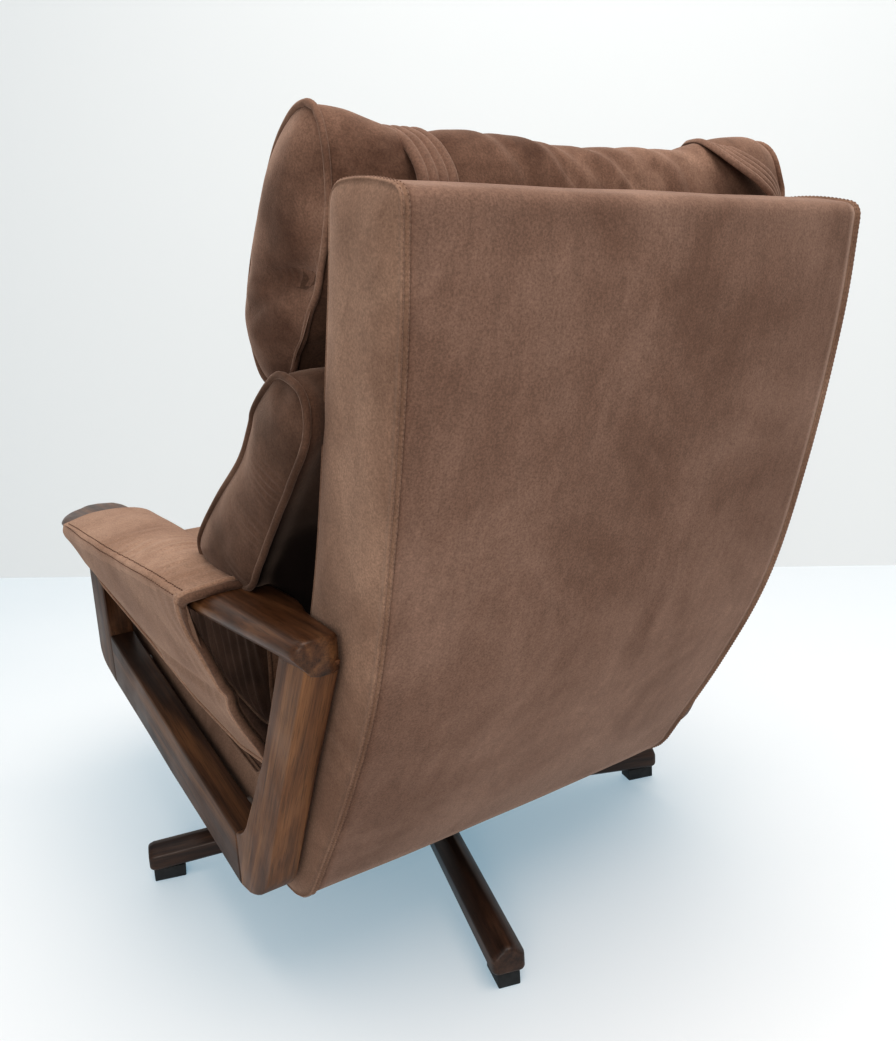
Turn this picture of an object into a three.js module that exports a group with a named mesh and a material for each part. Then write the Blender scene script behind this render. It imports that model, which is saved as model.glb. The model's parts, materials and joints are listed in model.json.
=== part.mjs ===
// Swivelling recliner armchair: a padded high-back shell on a four-leg wooden swivel base, with an open
// wooden side frame, a padded arm sleeve and loose cushions. Millimetres, +Z up, the sitter faces -Y.
import * as THREE from 'three';
import { mergeVertices } from 'three/addons/utils/BufferGeometryUtils.js';

// ---- driving dimensions -------------------------------------------------------------------------
const clearance = 0.4;            // gap kept between touching pieces

const rearmost = 565;             // back of the shell, measured from the swivel axis
const foremost = -514;            // front of the armrests
const shellHalfWidth = 316;
const sideBandThickness = 16;
const backCoverThickness = 16;
const shellCoreThickness = 12;

const legTurn = 72;               // degrees from +X to the first leg
const legCount = 4;
const legReach = 430;
const legWidth = 44;
const legBottom = 20;             // underside above the floor at the tip
const legTipRidge = 56;
const legRootRidge = 80;
const legRootBottom = 44;
const glideLength = 46;
const glideWidth = 29;

const hubRadius = 47.5;
const hubBottom = 42;
const hubTop = 84;
const spindleRadius = 15.5;

const pivotY = 55;                // recline axis
const pivotZ = 116;
const axleRadius = 6;
const housingHalfWidth = 46;      // outside of the housing cheeks
const plateThickness = 4;

const frameInnerX = 332;          // wooden side frames
const frameOuterX = 372;
const armrestThickness = 26;
const armrestRearTop = 514;
const armrestSlope = 0.0173;      // the armrest rises slightly towards the front

const bottomCorner = { y: 188.5, z: 189 };   // centre of the shell's rounded lower rear corner
const bottomRadius = 85;
const undersideTilt = THREE.MathUtils.degToRad(17);
const underStart = bottomCorner.y - bottomRadius * Math.sin(undersideTilt);

const centreY = (rearmost + foremost) / 2;

// ---- colours ------------------------------------------------------------------------------------
const velvet = { color: 0x7b5a4c, roughness: 0.95, metalness: 0 };
const velvetLight = { color: 0x94705b, roughness: 0.95, metalness: 0 };
const walnut = { color: 0x5f3f2a, roughness: 0.45, metalness: 0 };
const darkWood = { color: 0x33211a, roughness: 0.5, metalness: 0 };
const plywood = { color: 0xb08a5c, roughness: 0.7, metalness: 0 };
const rubber = { color: 0x17171a, roughness: 0.8, metalness: 0 };
const steel = { color: 0x8c8f93, roughness: 0.4, metalness: 1 };
const blackSteel = { color: 0x1d1e20, roughness: 0.5, metalness: 0.6 };
const plastic = { color: 0x121213, roughness: 0.4, metalness: 0 };

// ---- geometry helpers ---------------------------------------------------------------------------
const chair = new THREE.Group();
chair.position.y = -centreY;

function positionsOnly(geometry) {
  geometry.deleteAttribute('normal');
  geometry.deleteAttribute('uv');
  return mergeVertices(geometry, 1e-4);
}

function addPiece(name, geometry, finish) {
  const mesh = new THREE.Mesh(positionsOnly(geometry), new THREE.MeshStandardMaterial(finish));
  mesh.name = name;
  chair.add(mesh);
  return mesh;
}

function outlineShape(points) {
  return new THREE.Shape(points.map(([u, v]) => new THREE.Vector2(u, v)));
}

function roundHole(shape, u, v, radius) {
  const hole = new THREE.Path();
  hole.absarc(u, v, radius, 0, 2 * Math.PI, true);
  shape.holes.push(hole);
  return shape;
}

// A (y, z) outline pushed along X from x0 to x1; edgeRound rounds both ends of the push.
function extrudeAcross(shape, x0, x1, edgeRound = 0) {
  const options = { depth: x1 - x0 - 2 * edgeRound, bevelEnabled: edgeRound > 0, curveSegments: 16 };
  if (edgeRound > 0) {
    options.bevelSize = edgeRound;
    options.bevelThickness = edgeRound;
    options.bevelOffset = -edgeRound;
    options.bevelSegments = 3;
  }
  const geometry = new THREE.ExtrudeGeometry(shape, options);
  geometry.translate(0, 0, x0 + edgeRound);
  const toYZ = new THREE.Matrix4().set(0, 0, 1, 0, 1, 0, 0, 0, 0, 1, 0, 0, 0, 0, 0, 1);
  return geometry.applyMatrix4(toYZ);
}

// Side pieces are drawn for the +X side and reflected for the other.
function mirrorX(geometry) {
  const plain = positionsOnly(geometry);
  const position = plain.getAttribute('position');
  for (let i = 0; i < position.count; i += 1) {
    position.setX(i, -position.getX(i));
  }
  const order = plain.getIndex();
  for (let i = 0; i < order.count; i += 3) {
    const second = order.getX(i + 1);
    order.setX(i + 1, order.getX(i + 2));
    order.setX(i + 2, second);
  }
  return plain;
}

function addPair(name, makeGeometry, finish) {
  addPiece(`${name}_left`, makeGeometry(), finish);
  addPiece(`${name}_right`, mirrorX(makeGeometry()), finish);
}

// A closed skin over a row of equal-length point rings, capped at both ends. flatten gives a point's
// place in the plane across the row, so that plane and the row's direction are right-handed.
function loftRings(rings, flatten) {
  const outline = rings[0].map((point) => new THREE.Vector2(...flatten(point)));
  if (THREE.ShapeUtils.isClockWise(outline)) {
    outline.reverse();
    rings.forEach((ring) => ring.reverse());
  }
  const count = outline.length;
  const faces = [];
  for (let ring = 0; ring + 1 < rings.length; ring += 1) {
    for (let i = 0; i < count; i += 1) {
      const a = ring * count + i;
      const b = ring * count + ((i + 1) % count);
      faces.push(a, b, b + count, a, b + count, a + count);
    }
  }
  const last = (rings.length - 1) * count;
  for (const [a, b, c] of THREE.ShapeUtils.triangulateShape(outline, [])) {
    faces.push(c, b, a);
    faces.push(last + a, last + b, last + c);
  }
  const geometry = new THREE.BufferGeometry();
  geometry.setAttribute('position', new THREE.Float32BufferAttribute(rings.flat(2), 3));
  geometry.setIndex(faces);
  return mergeVertices(geometry, 1e-4);
}

// ---- swivel base --------------------------------------------------------------------------------
// A leg has a ridged top that arches towards the hub, and a blunt rounded toe.
function makeLeg() {
  const root = hubRadius + clearance;
  const reach = legReach - root;
  const section = (radius, squeeze) => {
    const t = (legReach - radius) / reach;
    const ridge = legTipRidge + (legRootRidge - legTipRidge) * (1 - (1 - t) ** 2);
    const base = legBottom + (legRootBottom - legBottom) * Math.max(0, (t - 0.14) / 0.86) ** 0.8;
    const half = legWidth / 2;
    const outline = [
      [-half + 4, base], [-half, base + 4], [-half, ridge - 13], [-half + 10, ridge - 4], [-5, ridge],
      [5, ridge], [half - 10, ridge - 4], [half, ridge - 13], [half, base + 4], [half - 4, base],
    ];
    const middle = (ridge + base) / 2;
    const height = (z) => Math.max(legBottom, middle + (z - middle) * squeeze);
    return outline.map(([y, z]) => [radius, y * squeeze, height(z)]);
  };
  const rings = [];
  for (const radius of [root, 120, 200, 280, 340, 375, legReach - 9]) {
    rings.push(section(radius, 1));
  }
  rings.push(section(legReach - 3, 0.93));
  rings.push(section(legReach, 0.8));
  return loftRings(rings, ([, y, z]) => [y, z]);
}

function makeGlide() {
  const height = legBottom - clearance;
  const geometry = new THREE.BoxGeometry(glideLength, glideWidth, height);
  geometry.translate(legReach - 5 - glideLength / 2, 0, height / 2);
  return geometry;
}

function buildBase() {
  for (let i = 0; i < legCount; i += 1) {
    const turn = THREE.MathUtils.degToRad(legTurn + (360 / legCount) * i);
    addPiece(`base_leg_${i + 1}`, makeLeg(), darkWood).rotation.z = turn;
    addPiece(`glide_${i + 1}`, makeGlide(), rubber).rotation.z = turn;
    const bolt = new THREE.CylinderGeometry(7, 7, 5, 6);
    bolt.rotateX(Math.PI / 2);
    bolt.translate(60, 0, 33);
    addPiece(`leg_bolt_${i + 1}`, bolt, steel).rotation.z = turn;
  }
  addPiece('hub_plate', turned([[0, 36], [76, 36], [76, 40], [0, 40]]), blackSteel);
  const bore = spindleRadius + clearance;
  const hub = [[bore, hubBottom], [hubRadius, hubBottom], [hubRadius, hubTop], [bore, hubTop]];
  addPiece('base_hub', turned(hub), blackSteel);
  const ring = [[19, hubTop + clearance], [38, hubTop + clearance], [38, 90], [19, 90]];
  addPiece('swivel_bearing', turned(ring), steel);
}

// A profile of [radius, height] turned about Z; it ends on the axis or closes on itself.
function turned(profile, segments = 40) {
  const points = profile.map(([radius, height]) => new THREE.Vector2(radius, height));
  if (profile[0][0] > 0) {
    points.push(points[0].clone());
  }
  const geometry = new THREE.LatheGeometry(points, segments);
  geometry.rotateX(Math.PI / 2);
  return geometry;
}

// ---- swivel and tilt mechanism ------------------------------------------------------------------
const housingFloorZ = 96;          // underside of the tilt housing
const housingFloorTop = housingFloorZ + plateThickness;
const housingFront = -110;
const housingRear = 114;

// Height of the shell's underside, which the seat plate follows.
function undersideZ(y) {
  return bottomCorner.z - bottomRadius * Math.cos(undersideTilt) + (underStart - y) * Math.tan(undersideTilt);
}

function plateUnder(y) {
  return undersideZ(y) - plateThickness - 2 * clearance;
}

function buildMechanism() {
  const top = housingFloorZ - clearance;
  const spindle = [[0, 44], [spindleRadius, 44], [spindleRadius, 90.4], [28, 90.4], [28, top], [0, top]];
  addPiece('swivel_spindle', turned(spindle), steel);

  const floorShape = outlineShape([
    [-45, housingFront], [45, housingFront], [45, housingRear], [-45, housingRear],
  ]);
  const housingFloor = new THREE.ExtrudeGeometry(floorShape, { depth: plateThickness, bevelEnabled: false });
  housingFloor.translate(0, 0, housingFloorZ);
  addPiece('tilt_housing_floor', housingFloor, blackSteel);

  const cheekBottom = housingFloorTop + clearance;
  const cheek = () => {
    const side = [
      [housingFront, cheekBottom], [88, cheekBottom], [68, 128], [40, 128], [housingFront + 2, 174],
    ];
    const shape = roundHole(outlineShape(side), pivotY, pivotZ, axleRadius + 0.05);
    return extrudeAcross(shape, housingHalfWidth - 4, housingHalfWidth);
  };
  addPair('tilt_cheek', cheek, blackSteel);

  const insideHalf = housingHalfWidth - 4 - clearance;
  const webFront = housingFront + 2;
  const web = outlineShape([
    [webFront, cheekBottom], [webFront + 5, cheekBottom], [webFront + 5, 166], [webFront, 166],
  ]);
  addPiece('tilt_front_web', extrudeAcross(web, -insideHalf, insideHalf), blackSteel);

  const axle = new THREE.CylinderGeometry(axleRadius, axleRadius, 124, 32);
  axle.rotateZ(Math.PI / 2);
  axle.translate(0, pivotY, pivotZ);
  addPiece('tilt_axle', axle, steel);
  addPiece('tilt_spring', makeTorsionSpring(), steel);
  buildStops(cheekBottom, insideHalf);
  buildTensionKnob(webFront);
  buildSeatPlate();
}

// Rubber blocks that end the recline: the front one at rest, the rear one fully back.
function buildStops(cheekBottom, insideHalf) {
  const front = housingFront + 7.4;
  const rear = front + 26;
  const ledge = outlineShape([[front, 158], [rear, 150], [rear, 155], [front, 163]]);
  addPiece('front_stop_ledge', extrudeAcross(ledge, -insideHalf, insideHalf), blackSteel);
  const frontStop = outlineShape([
    [front, 163 + clearance], [rear, 155 + clearance], [rear, plateUnder(rear) - clearance],
    [front, plateUnder(front) - clearance],
  ]);
  addPiece('front_stop', extrudeAcross(frontStop, -24, 24), rubber);
  const rearStop = outlineShape([[88, cheekBottom], [110, cheekBottom], [110, 108.6], [88, 118.6]]);
  addPiece('rear_stop', extrudeAcross(rearStop, -24, 24), rubber);
}

// Spring tension is set by a knob on a rod through the housing's front web.
function buildTensionKnob(webFront) {
  const knobZ = 132;
  const rodLength = 34;
  const rod = new THREE.CylinderGeometry(5, 5, rodLength, 20);
  rod.translate(0, webFront - clearance - rodLength / 2, knobZ);
  addPiece('tension_rod', rod, steel);
  const knob = turned([[0, 0], [17, 0], [21, 4], [21, 18], [17, 22], [0, 22]], 12);
  knob.rotateX(Math.PI / 2);
  knob.translate(0, webFront - rodLength - 2 * clearance, knobZ);
  addPiece('tension_knob', knob, plastic);
}

// Torsion spring wound round the recline axle.
function makeTorsionSpring() {
  const coilRadius = 10.5;
  const wireRadius = 2;
  const turns = 8;
  const pitch = 8;
  const points = [];
  const steps = turns * 14;
  for (let i = 0; i <= steps; i += 1) {
    const angle = (2 * Math.PI * turns * i) / steps;
    const x = pitch * turns * (i / steps - 0.5);
    const y = pivotY + coilRadius * Math.cos(angle);
    points.push(new THREE.Vector3(x, y, pivotZ + coilRadius * Math.sin(angle)));
  }
  const wire = new THREE.Shape();
  wire.absarc(0, 0, wireRadius, 0, 2 * Math.PI, false);
  const path = new THREE.CatmullRomCurve3(points);
  return new THREE.ExtrudeGeometry(wire, { steps, extrudePath: path, curveSegments: 4, bevelEnabled: false });
}

function buildSeatPlate() {
  const front = -170;
  const rear = 126;
  const plate = outlineShape([
    [front, plateUnder(front)], [rear, plateUnder(rear)],
    [rear, undersideZ(rear) - clearance], [front, undersideZ(front) - clearance],
  ]);
  addPiece('seat_plate', extrudeAcross(plate, -95, 95), blackSteel);

  const lug = () => {
    const top = (y) => plateUnder(y) - clearance;
    const shape = outlineShape([[5, top(5)], [34, 108], [46, 103], [64, 103], [76, 108], [98, top(98)]]);
    roundHole(shape, pivotY, pivotZ, axleRadius + 0.05);
    return extrudeAcross(shape, housingHalfWidth + 3, housingHalfWidth + 8);
  };
  addPair('seat_lug', lug, blackSteel);
}

// ---- upholstered shell --------------------------------------------------------------------------
const deckFront = -430;

// Rear face of the shell, from the top down to the rounded bottom corner, then forwards underneath.
function outerLine() {
  const back = new THREE.SplineCurve([
    new THREE.Vector2(rearmost, 912),
    new THREE.Vector2(546, 786),
    new THREE.Vector2(502, 610),
    new THREE.Vector2(446, 445),
    new THREE.Vector2(366, 301),
    new THREE.Vector2(258, 140),
  ]);
  const line = back.getSpacedPoints(18);
  for (const turn of [-50, -65, -80, -95, -107]) {
    const angle = THREE.MathUtils.degToRad(turn);
    line.push(new THREE.Vector2(
      bottomCorner.y + bottomRadius * Math.cos(angle),
      bottomCorner.z + bottomRadius * Math.sin(angle),
    ));
  }
  line.push(new THREE.Vector2(deckFront, undersideZ(deckFront)));
  return line;
}

// The same line moved inwards by a distance, keeping its two ends square.
function inset(line, distance) {
  return line.map((point, i) => {
    const before = line[Math.max(i - 1, 0)];
    const after = line[Math.min(i + 1, line.length - 1)];
    const along = after.clone().sub(before).normalize();
    return new THREE.Vector2(point.x + along.y * distance, point.y - along.x * distance);
  });
}

function layerShape(outer, inner) {
  return new THREE.Shape([...outer, ...inner.slice().reverse()]);
}

// Front face of the back and top of the seat deck.
function innerLine() {
  const back = new THREE.SplineCurve([
    new THREE.Vector2(452, 928),
    new THREE.Vector2(430, 834),
    new THREE.Vector2(376, 640),
    new THREE.Vector2(332, 515),
    new THREE.Vector2(262, 380),
    new THREE.Vector2(170, 262),
  ]);
  const line = back.getSpacedPoints(12);
  line.push(new THREE.Vector2(110, 236));
  line.push(new THREE.Vector2(deckFront, 344));
  return line;
}

function buildShell() {
  const outer = outerLine();
  const half = shellHalfWidth - sideBandThickness - clearance;
  const coreOuter = inset(outer, backCoverThickness);
  const coreInner = inset(outer, backCoverThickness + shellCoreThickness);
  const padOuter = inset(outer, backCoverThickness + shellCoreThickness + clearance);
  const cover = layerShape(outer, inset(outer, backCoverThickness - clearance));
  addPiece('back_cover', extrudeAcross(cover, -half, half), velvet);
  addPiece('shell_core', extrudeAcross(layerShape(coreOuter, coreInner), -half, half), plywood);
  addPiece('inner_cover', extrudeAcross(layerShape(padOuter, innerLine()), -half, half), velvet);
  const sideView = layerShape(outer, innerLine());
  const bandInside = shellHalfWidth - sideBandThickness;
  addPair('side_band', () => extrudeAcross(sideView, bandInside, shellHalfWidth), velvet);
}

// ---- wooden side frames -------------------------------------------------------------------------
function armrestTop(y) {
  return armrestRearTop + (424 - y) * armrestSlope;
}

function makeRearPost() {
  const top = armrestTop(390) - armrestThickness - 2;
  const shape = new THREE.Shape();
  shape.moveTo(165, 121.5);
  shape.lineTo(193, 124);
  shape.quadraticCurveTo(243, 138, 262, 177);
  shape.lineTo(336, 323);
  shape.lineTo(424, top);
  shape.lineTo(361, top);
  shape.lineTo(283, 339);
  shape.lineTo(213, 234);
  shape.quadraticCurveTo(190, 199, 165, 196);
  return extrudeAcross(shape, frameInnerX, frameOuterX, 3);
}

function makeBottomRail() {
  const rear = 165 - clearance;
  const shape = outlineShape([
    [-346, 246], [-91, 176], [80, 138], [rear, 121.5], [rear, 196], [57, 221], [-151, 278], [-346, 330],
  ]);
  return extrudeAcross(shape, frameInnerX, frameOuterX, 3);
}

function makeFrontPost() {
  const top = armrestTop(-400) - armrestThickness - 1.5;
  const rear = -346 - clearance;
  const shape = new THREE.Shape();
  shape.moveTo(rear, 246);
  shape.lineTo(rear, 330);
  shape.quadraticCurveTo(-354, 370, -360, top);
  shape.lineTo(-426, top);
  shape.lineTo(-428, 292);
  shape.quadraticCurveTo(-424, 272, -400, 262);
  return extrudeAcross(shape, frameInnerX, frameOuterX, 3);
}

// Paddle-shaped armrest: narrow at the rear, wider and rounded at the front.
function makeArmrest() {
  const outer = new THREE.SplineCurve([
    new THREE.Vector2(384, 418),
    new THREE.Vector2(397, 180),
    new THREE.Vector2(408, -120),
    new THREE.Vector2(409, -380),
    new THREE.Vector2(392, -462),
    new THREE.Vector2(350, -508),
    new THREE.Vector2(316, foremost),
  ]).getSpacedPoints(16);
  const inner = new THREE.SplineCurve([
    new THREE.Vector2(296, -500),
    new THREE.Vector2(290, -420),
    new THREE.Vector2(306, -120),
    new THREE.Vector2(326, 180),
    new THREE.Vector2(331, 418),
  ]).getSpacedPoints(8);
  const feet = [new THREE.Vector2(337, 424), new THREE.Vector2(378, 424)];
  const shape = new THREE.Shape([...outer, ...inner, ...feet]);
  const geometry = new THREE.ExtrudeGeometry(shape, { depth: armrestThickness, bevelEnabled: false });
  const lean = new THREE.Matrix4().makeShear(0, 0, 0, -armrestSlope, 0, 0);
  geometry.applyMatrix4(lean);
  geometry.translate(0, 0, armrestTop(0) - armrestThickness);
  return geometry;
}

// Spacer bolts that carry a side frame on the shell's side.
function buildFrameSpacers() {
  const places = [[345, 405], [100, 190], [-300, 285]];
  const start = shellHalfWidth + clearance;
  const length = frameInnerX - clearance - start;
  places.forEach(([y, z], i) => {
    addPair(`frame_spacer_${i + 1}`, () => {
      const spacer = new THREE.CylinderGeometry(11, 11, length, 20);
      spacer.rotateZ(Math.PI / 2);
      spacer.translate(start + length / 2, y, z);
      return spacer;
    }, blackSteel);
  });
}

function buildSideFrames() {
  addPair('armrest', makeArmrest, walnut);
  addPair('front_post', makeFrontPost, walnut);
  addPair('bottom_rail', makeBottomRail, walnut);
  addPair('rear_post', makeRearPost, walnut);
  buildFrameSpacers();
}

// ---- padded arm sleeves -------------------------------------------------------------------------
// Cross-sections from front to rear: a sleeve wraps the armrest and its outer flap runs down and inwards.
function buildArmPads() {
  const stations = [
    { y: -312, flapX: 400, flapZ: 482, innerX: 276 },
    { y: -230, flapX: 390, flapZ: 440, innerX: 281 },
    { y: -90, flapX: 372, flapZ: 385, innerX: 288 },
    { y: 40, flapX: 346, flapZ: 325, innerX: 296 },
    { y: 150, flapX: 327, flapZ: 290, innerX: 303 },
    { y: 172, flapX: 327, flapZ: 290, innerX: 304 },
  ];
  addPair('arm_pad', () => {
    const rings = stations.map((station) => padRing(station));
    return loftRings(rings, ([x, , z]) => [z, x]);
  }, velvetLight);
}

function padRing({ y, flapX, flapZ, innerX }) {
  const top = armrestTop(y);
  const outerEdge = 400 + (y < -150 ? 10 : 9 * ((180 - y) / 330));
  const under = top - armrestThickness;
  const ring = [
    [innerX, under - 60],
    [innerX + 12, under - 62],
    [innerX + 14, top + 3],
    [outerEdge + 3, top + 3],
    [outerEdge + 3, under - 4],
    [flapX - 10, flapZ + 4],
    [flapX, flapZ],
    [outerEdge + 13, under + 4],
    [outerEdge + 10, top + 8],
    [outerEdge - 10, top + 16],
    [innerX + 30, top + 7],
    [innerX, top + 4],
  ];
  return ring.map(([x, z]) => [x, y, z]);
}

// ---- cushions -----------------------------------------------------------------------------------
function buildCushions() {
  const seat = [
    [-505, 372], [-490, 362], [44, 254], [60, 270], [60, 424], [44, 440], [-430, 464], [-478, 455],
    [-502, 425],
  ];
  addPiece('seat_cushion', extrudeAcross(outlineShape(seat), -268, 268, 16), velvetLight);
  addPiece('lumbar_cushion', makeLumbarCushion(), velvet);
  addPiece('headrest_cushion', makeHeadrest(), velvet);
}

// Headrest outline at the ends, and how far its top is pulled down at and between the straps.
const headOutline = [
  [300, 760], [240, 770], [206, 796], [197, 838], [220, 890], [266, 952], [316, 996], [378, 1015],
  [412, 1008],
  [433, 980], [435, 920], [404, 854], [362, 803],
];
const headPull = 18;

function headPoint([y, z], pull) {
  const lift = Math.max(0, (z - 880) / 135);
  return [y, z - pull * lift];
}

function makeHeadrest() {
  const halfWidth = 312;
  const heart = [316, 888];
  const ring = (x, pull, size) => headOutline.map((point) => {
    const [y, z] = headPoint(point, pull);
    return [x, heart[0] + (y - heart[0]) * size, heart[1] + (z - heart[1]) * size];
  });
  const half = [
    [halfWidth, 0, 0.85], [halfWidth - 16, 0, 1], [238, 0, 1], [224, headPull, 0.96], [180, headPull, 0.96],
  ];
  const rings = [
    ...half.map(([x, pull, size]) => ring(-x, pull, size)),
    ...half.reverse().map(([x, pull, size]) => ring(x, pull, size)),
  ];
  return loftRings(rings, ([, y, z]) => [y, z]);
}

// The lumbar cushion hangs lower between the arms than over them, and its ends are rounded.
function makeLumbarCushion() {
  const halfWidth = 340;
  const crown = [
    [48, 572], [154, 640], [212, 693], [255, 739], [287, 754], [360, 754], [388, 728], [374, 690], [330, 637],
    [270, 572],
  ];
  const overArms = [[214, 524], [176, 530], [34, 537]];
  const betweenArms = [[200, 500], [150, 462], [60, 472]];
  const heart = [210, 640];
  const ring = (x, below, size) => [...crown, ...below].map(([y, z]) => [
    x,
    heart[0] + (y - heart[0]) * size,
    heart[1] + (z - heart[1]) * size,
  ]);
  const half = [
    [halfWidth, overArms, 0.86], [halfWidth - 18, overArms, 1], [294, overArms, 1], [262, betweenArms, 1],
  ];
  const rings = [
    ...half.map(([x, below, size]) => ring(-x, below, size)),
    ...half.reverse().map(([x, below, size]) => ring(x, below, size)),
  ];
  return loftRings(rings, ([, y, z]) => [y, z]);
}

// Ribbed straps that hold the headrest to the top of the shell.
function buildStraps() {
  const strapWidth = 42;
  const strapInner = 181;
  const heart = new THREE.Vector2(316, 888);
  const route = headOutline.slice(2, 11).map((point) => new THREE.Vector2(...headPoint(point, headPull)));
  const offset = (distance) => route.map((point) => {
    const outward = point.clone().sub(heart).multiplyScalar(0.96);
    return heart.clone().add(outward.setLength(outward.length() + distance));
  });
  addPair('headrest_strap', () => {
    return extrudeAcross(layerShape(offset(1), offset(7)), strapInner, strapInner + strapWidth);
  }, velvet);
}

buildBase();
buildMechanism();
buildShell();
buildSideFrames();
buildArmPads();
buildCushions();
buildStraps();

export default chair;
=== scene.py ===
"""Swivelling recliner armchair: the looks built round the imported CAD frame.

Shapes are laid out in millimetres from the swivel axis (+Z up, the sitter faces -Y, +X is the sitter's
left) and are turned into the frame's metres when a mesh is made.
"""

import json
import math

import bmesh
import bpy
import numpy as np
from mathutils import Matrix, Vector, noise


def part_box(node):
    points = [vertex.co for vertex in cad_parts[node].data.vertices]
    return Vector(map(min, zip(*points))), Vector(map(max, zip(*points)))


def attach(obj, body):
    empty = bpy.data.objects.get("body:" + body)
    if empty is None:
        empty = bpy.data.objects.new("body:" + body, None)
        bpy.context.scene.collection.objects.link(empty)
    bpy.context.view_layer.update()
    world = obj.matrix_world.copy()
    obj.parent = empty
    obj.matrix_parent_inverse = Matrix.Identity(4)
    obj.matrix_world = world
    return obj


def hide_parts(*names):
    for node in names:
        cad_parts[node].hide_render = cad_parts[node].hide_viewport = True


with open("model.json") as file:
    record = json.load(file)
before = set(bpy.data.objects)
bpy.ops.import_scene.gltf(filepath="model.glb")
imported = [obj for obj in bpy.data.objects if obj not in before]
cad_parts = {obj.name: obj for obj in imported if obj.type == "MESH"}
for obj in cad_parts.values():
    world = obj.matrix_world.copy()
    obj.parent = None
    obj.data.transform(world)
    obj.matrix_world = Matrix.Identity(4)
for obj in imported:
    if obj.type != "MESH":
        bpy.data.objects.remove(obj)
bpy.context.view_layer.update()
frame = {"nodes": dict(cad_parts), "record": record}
NODES = frame["nodes"]
MM = 0.001
HUB_LOW, HUB_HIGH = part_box("base_hub")
SWIVEL_Y = (HUB_LOW.y + HUB_HIGH.y) / 2
SIDES = (("left", 1), ("right", -1))


def linked(name, data):
    """A new object that shows the given data, in the scene."""
    made = bpy.data.objects.new(name, data)
    bpy.context.scene.collection.objects.link(made)
    return made


# ---- camera and light ---------------------------------------------------------------------------------
CAMERA_PLACE = Vector((727.5, 1211.25, 802.5)) * MM + Vector((0, SWIVEL_Y, 0))
CAMERA_AZIMUTH = math.radians(145.89)
CAMERA_PITCH = math.radians(11.77)
CAMERA_ROLL = math.radians(-3.54)
CAMERA_LENS = 31.96
WALL_GLOW = 0.235
FLOOR_GLOW = 0.33


def make_camera():
    a, e = CAMERA_AZIMUTH, CAMERA_PITCH
    back = Vector((math.sin(a) * math.cos(e), -math.cos(a) * math.cos(e), math.sin(e)))
    right = (-back).cross(Vector((0, 0, 1))).normalized()
    up = right.cross(-back)
    turned_right = right * math.cos(CAMERA_ROLL) + up * math.sin(CAMERA_ROLL)
    turned_up = up * math.cos(CAMERA_ROLL) - right * math.sin(CAMERA_ROLL)
    camera = linked("camera", bpy.data.cameras.new("camera"))
    camera.data.sensor_width = 36
    camera.data.lens = CAMERA_LENS
    columns = Matrix((turned_right, turned_up, back)).transposed()
    camera.matrix_world = Matrix.Translation(CAMERA_PLACE) @ columns.to_4x4()
    bpy.context.scene.camera = camera


def area_light(name, place, target, size, watts, colour):
    light = bpy.data.lights.new(name, "AREA")
    light.shape = "DISK"
    light.size = size
    light.energy = watts
    light.color = colour
    holder = linked(name, light)
    holder.location = place
    holder.rotation_euler = (Vector(place) - Vector(target)).to_track_quat("Z", "Y").to_euler()


def make_light():
    world = bpy.data.worlds.new("studio")
    world.use_nodes = True
    background = world.node_tree.nodes["Background"]
    background.inputs["Color"].default_value = (0.86, 0.94, 1.0, 1)
    background.inputs["Strength"].default_value = 0.52
    bpy.context.scene.world = world
    bpy.context.scene.view_settings.view_transform = "Standard"
    bpy.context.scene.view_settings.look = "Medium High Contrast"
    middle = (0, 0, 0.5)
    area_light("overhead", (0.1, 0.8, 3.0), middle, 2.4, 66, (1.0, 0.97, 0.93))
    area_light("rear_window", (2.6, 3.0, 1.5), middle, 1.8, 42, (1.0, 0.95, 0.88))


# ---- materials ----------------------------------------------------------------------------------------
def node(tree, kind, inputs=None, **settings):
    """A shader node with its settings, and with its inputs either linked or set."""
    made = tree.nodes.new(kind)
    for key, value in settings.items():
        setattr(made, key, value)
    for key, value in (inputs or {}).items():
        if isinstance(value, bpy.types.NodeSocket):
            tree.links.new(value, made.inputs[key])
        else:
            made.inputs[key].default_value = value
    return made


def new_material(name, **fixed):
    material = bpy.data.materials.new(name)
    material.use_nodes = True
    tree = material.node_tree
    shader = tree.nodes["Principled BSDF"]
    for key, value in fixed.items():
        shader.inputs[key.replace("_", " ").title().replace("Ior", "IOR")].default_value = value
    return material, tree, shader


def object_space(tree, turn=(0, 0, 0), stretch=(1, 1, 1)):
    """Coordinates that stay with the piece, turned and then stretched."""
    place = node(tree, "ShaderNodeTexCoord").outputs["Object"]
    turned = node(tree, "ShaderNodeMapping", {"Vector": place, "Rotation": turn})
    return node(tree, "ShaderNodeMapping", {"Vector": turned.outputs[0], "Scale": stretch}).outputs[0]


def cloud(tree, where, scale, detail=3.0, roughness=0.55, distortion=0.0):
    inputs = {"Vector": where, "Scale": scale, "Detail": detail, "Roughness": roughness}
    return node(tree, "ShaderNodeTexNoise", {**inputs, "Distortion": distortion}).outputs["Fac"]


def ramp(tree, value, stops):
    made = node(tree, "ShaderNodeValToRGB", {"Fac": value})
    elements = made.color_ramp.elements
    while len(elements) < len(stops):
        elements.new(0.5)
    for element, (position, colour) in zip(elements, stops):
        element.position = position
        element.color = (*colour, 1)
    return made.outputs["Color"]


def blend_colours(tree, share, first, second, mode="MIX"):
    inputs = {"Factor": share, 6: first, 7: second}
    return node(tree, "ShaderNodeMix", inputs, data_type="RGBA", blend_type=mode).outputs[2]


def grey(level):
    return (level, level, level)


def bump(tree, height, strength, distance, before=None):
    inputs = {"Height": height, "Strength": strength, "Distance": distance}
    if before is not None:
        inputs["Normal"] = before
    return node(tree, "ShaderNodeBump", inputs).outputs["Normal"]


# painted shade: the near-black colour that stands in for the shadow deep in a gap
PAINTED_GAP_SHADE = (0.009, 0.005, 0.004, 1)


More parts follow.
